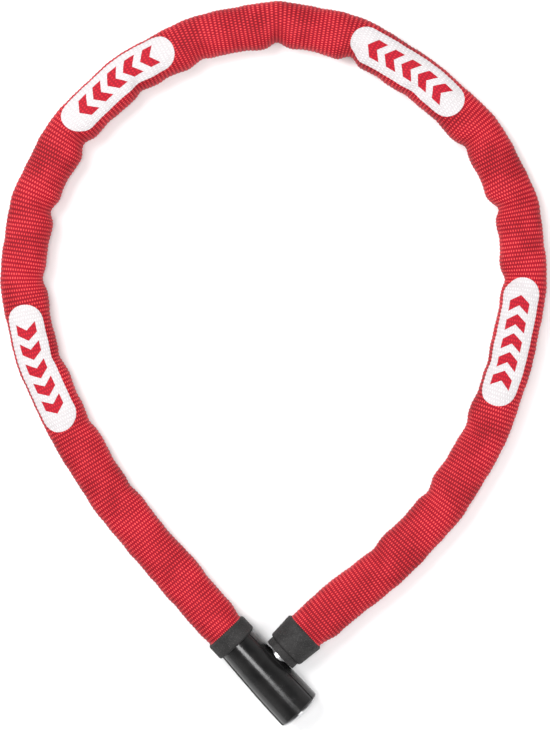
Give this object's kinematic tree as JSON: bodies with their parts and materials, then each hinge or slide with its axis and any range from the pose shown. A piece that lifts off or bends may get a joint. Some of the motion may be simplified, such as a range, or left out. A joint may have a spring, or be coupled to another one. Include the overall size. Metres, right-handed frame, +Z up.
{
  "type": "chain lock",
  "caption": "Bicycle chain lock: square-link steel chain in a woven sleeve, closed into a loop by a sideways bolt in a round key lock.",
  "frame": {"origin": "middle of the footprint of the closed lock as it lies flat, at the surface it lies on", "axes": "+Z up; +Y from the lock body across the loop; +X to the right when the lock body is at the near end"},
  "size_m": [0.2506, 0.3288, 0.0209],
  "materials": {
    "woven_sleeve": "ribbed red woven polyester",
    "link_steel": "zinc-plated hardened steel",
    "hard_steel": "ground hardened steel",
    "pin_steel": "plain steel",
    "dome_steel": "polished nickel plate",
    "brass": "machined",
    "cast_zinc": "die-cast, satin",
    "gloss_black": "moulded, high gloss",
    "satin_black": "moulded, satin gloss",
    "collar_rubber": "matte, finely grained"
  },
  "bodies": {
    "lock_body": {"lock_housing": "cast_zinc", "upper_shell": "gloss_black", "lower_shell": "satin_black", "chain_collar": "collar_rubber", "end_cap": "dome_steel", "cylinder_shell": "brass", "cylinder_pin": "pin_steel", "anchor_pin": "pin_steel", "anchor_link": "link_steel", "sleeve_start": "woven_sleeve"},
    "section_01": {"chain_links_01": "link_steel", "sleeve_01": "woven_sleeve"},
    "section_02": {"chain_links_02": "link_steel", "sleeve_02": "woven_sleeve"},
    "section_03": {"chain_links_03": "link_steel", "sleeve_03": "woven_sleeve"},
    "section_04": {"chain_links_04": "link_steel", "sleeve_04": "woven_sleeve"},
    "section_05": {"chain_links_05": "link_steel", "sleeve_05": "woven_sleeve"},
    "section_06": {"chain_links_06": "link_steel", "sleeve_06": "woven_sleeve"},
    "section_07": {"chain_links_07": "link_steel", "sleeve_07": "woven_sleeve"},
    "section_08": {"chain_links_08": "link_steel", "sleeve_08": "woven_sleeve"},
    "section_09": {"chain_links_09": "link_steel", "sleeve_09": "woven_sleeve"},
    "section_10": {"chain_links_10": "link_steel", "sleeve_10": "woven_sleeve"},
    "section_11": {"chain_links_11": "link_steel", "sleeve_11": "woven_sleeve"},
    "section_12": {"chain_links_12": "link_steel", "sleeve_12": "woven_sleeve"},
    "section_13": {"chain_links_13": "link_steel", "sleeve_13": "woven_sleeve"},
    "section_14": {"chain_links_14": "link_steel", "sleeve_14": "woven_sleeve"},
    "section_15": {"chain_links_15": "link_steel", "sleeve_15": "woven_sleeve"},
    "section_16": {"chain_links_16": "link_steel", "sleeve_16": "woven_sleeve"},
    "section_17": {"chain_links_17": "link_steel", "sleeve_17": "woven_sleeve"},
    "section_18": {"chain_links_18": "link_steel", "sleeve_18": "woven_sleeve"},
    "section_19": {"chain_links_19": "link_steel", "sleeve_19": "woven_sleeve"},
    "section_20": {"chain_links_20": "link_steel", "sleeve_20": "woven_sleeve"},
    "bolt_end": {"locking_bolt": "hard_steel", "bolt_pin": "pin_steel", "end_link": "link_steel", "bolt_collar": "collar_rubber", "sleeve_end": "woven_sleeve"},
    "key_cylinder": {"key_plug": "dome_steel", "wafers": "brass", "retaining_clip": "pin_steel"},
    "latch_body": {"latch": "hard_steel"}
  },
  "joints": [
    {"name": "chain_hinge_01", "type": "hinge", "parent": "section_01", "child": "lock_body", "pos_m": [-0.02561, -0.11707, 0.0085], "axis": [0, 0, 1], "range_deg": [0, 12.5]},
    {"name": "chain_hinge_02", "type": "hinge", "parent": "section_02", "child": "section_01", "pos_m": [-0.04936, -0.08975, 0.0085], "axis": [0, 0, 1], "range_deg": [0, 8.88]},
    {"name": "chain_hinge_03", "type": "hinge", "parent": "section_03", "child": "section_02", "pos_m": [-0.07263, -0.06202, 0.0085], "axis": [0, 0, 1], "range_deg": [0, 4.26]},
    {"name": "chain_hinge_04", "type": "hinge", "parent": "section_04", "child": "section_03", "pos_m": [-0.09181, -0.03132, 0.0085], "axis": [0, 0, 1], "range_deg": [-0.825, 0]},
    {"name": "chain_hinge_05", "type": "hinge", "parent": "section_05", "child": "section_04", "pos_m": [-0.10711, 0.00149, 0.0085], "axis": [0, 0, 1], "range_deg": [-5.2, 0]},
    {"name": "chain_hinge_06", "type": "hinge", "parent": "section_06", "child": "section_05", "pos_m": [-0.11464, 0.0369, 0.0085], "axis": [0, 0, 1], "range_deg": [-8.28, 0]},
    {"name": "chain_hinge_07", "type": "hinge", "parent": "section_07", "child": "section_06", "pos_m": [-0.10912, 0.07268, 0.0085], "axis": [0, 0, 1], "range_deg": [-9.69, 0]},
    {"name": "chain_hinge_08", "type": "hinge", "parent": "section_08", "child": "section_07", "pos_m": [-0.09213, 0.10464, 0.0085], "axis": [0, 0, 1], "range_deg": [-9.68, 0]},
    {"name": "chain_hinge_09", "type": "hinge", "parent": "section_08", "child": "section_09", "pos_m": [-0.06609, 0.12979, 0.0085], "axis": [0, 0, 1], "range_deg": [0, 8.04]},
    {"name": "chain_hinge_10", "type": "hinge", "parent": "section_09", "child": "section_10", "pos_m": [-0.03413, 0.14678, 0.0085], "axis": [0, 0, 1], "range_deg": [0, 5.51]},
    {"name": "chain_hinge_11", "type": "hinge", "parent": "section_10", "child": "section_11", "pos_m": [0.00141, 0.15369, 0.0085], "axis": [0, 0, 1], "range_deg": [0, 2.4]},
    {"name": "chain_hinge_12", "type": "hinge", "parent": "section_11", "child": "section_12", "pos_m": [0.03719, 0.1482, 0.0085], "axis": [0, 0, 1], "range_deg": [-0.4, 0]},
    {"name": "chain_hinge_13", "type": "hinge", "parent": "section_12", "child": "section_13", "pos_m": [0.06854, 0.1301, 0.0085], "axis": [0, 0, 1], "range_deg": [-2.4, 0]},
    {"name": "chain_hinge_14", "type": "hinge", "parent": "section_13", "child": "section_14", "pos_m": [0.09501, 0.10541, 0.0085], "axis": [0, 0, 1], "range_deg": [-3.66, 0]},
    {"name": "chain_hinge_15", "type": "hinge", "parent": "section_14", "child": "section_15", "pos_m": [0.11117, 0.07302, 0.0085], "axis": [0, 0, 1], "range_deg": [-4.05, 0]},
    {"name": "chain_hinge_16", "type": "hinge", "parent": "section_15", "child": "section_16", "pos_m": [0.11464, 0.03698, 0.0085], "axis": [0, 0, 1], "range_deg": [-3.95, 0]},
    {"name": "chain_hinge_17", "type": "hinge", "parent": "section_16", "child": "section_17", "pos_m": [0.10773, 0.00145, 0.0085], "axis": [0, 0, 1], "range_deg": [-3.59, 0]},
    {"name": "chain_hinge_18", "type": "hinge", "parent": "section_17", "child": "section_18", "pos_m": [0.09594, -0.03278, 0.0085], "axis": [0, 0, 1], "range_deg": [-2.84, 0]},
    {"name": "chain_hinge_19", "type": "hinge", "parent": "section_18", "child": "section_19", "pos_m": [0.0773, -0.06381, 0.0085], "axis": [0, 0, 1], "range_deg": [-1.96, 0]},
    {"name": "chain_hinge_20", "type": "hinge", "parent": "section_19", "child": "section_20", "pos_m": [0.05261, -0.09028, 0.0085], "axis": [0, 0, 1], "range_deg": [-0.9375, 0]},
    {"name": "chain_hinge_21", "type": "hinge", "parent": "section_20", "child": "bolt_end", "pos_m": [0.02408, -0.11257, 0.0085], "axis": [0, 0, 1], "range_deg": [-0.1875, 0]},
    {"name": "key_turn", "type": "hinge", "parent": "lock_body", "child": "key_cylinder", "pos_m": [0.00829, -0.15342, 0.01055], "axis": [0.682, -0.7314, 0], "range_deg": [0, 90]},
    {"name": "latch_slide", "type": "slide", "parent": "lock_body", "child": "latch_body", "axis": [0, 0, 1], "range_m": [0, 0.00354]}
  ],
  "couplings": [
    {"joint": "chain_hinge_02", "follows": "chain_hinge_01", "ratio": 0.71},
    {"joint": "chain_hinge_03", "follows": "chain_hinge_01", "ratio": 0.341},
    {"joint": "chain_hinge_04", "follows": "chain_hinge_01", "ratio": -0.066},
    {"joint": "chain_hinge_05", "follows": "chain_hinge_01", "ratio": -0.416},
    {"joint": "chain_hinge_06", "follows": "chain_hinge_01", "ratio": -0.662},
    {"joint": "chain_hinge_07", "follows": "chain_hinge_01", "ratio": -0.775},
    {"joint": "chain_hinge_08", "follows": "chain_hinge_01", "ratio": -0.774},
    {"joint": "chain_hinge_09", "follows": "chain_hinge_01", "ratio": 0.643},
    {"joint": "chain_hinge_10", "follows": "chain_hinge_01", "ratio": 0.441},
    {"joint": "chain_hinge_11", "follows": "chain_hinge_01", "ratio": 0.192},
    {"joint": "chain_hinge_12", "follows": "chain_hinge_01", "ratio": -0.032},
    {"joint": "chain_hinge_13", "follows": "chain_hinge_01", "ratio": -0.192},
    {"joint": "chain_hinge_14", "follows": "chain_hinge_01", "ratio": -0.293},
    {"joint": "chain_hinge_15", "follows": "chain_hinge_01", "ratio": -0.324},
    {"joint": "chain_hinge_16", "follows": "chain_hinge_01", "ratio": -0.316},
    {"joint": "chain_hinge_17", "follows": "chain_hinge_01", "ratio": -0.287},
    {"joint": "chain_hinge_18", "follows": "chain_hinge_01", "ratio": -0.227},
    {"joint": "chain_hinge_19", "follows": "chain_hinge_01", "ratio": -0.157},
    {"joint": "chain_hinge_20", "follows": "chain_hinge_01", "ratio": -0.075},
    {"joint": "chain_hinge_21", "follows": "chain_hinge_01", "ratio": -0.015},
    {"joint": "latch_slide", "follows": "key_turn", "m_per_rad": 0.0022508}
  ]
}
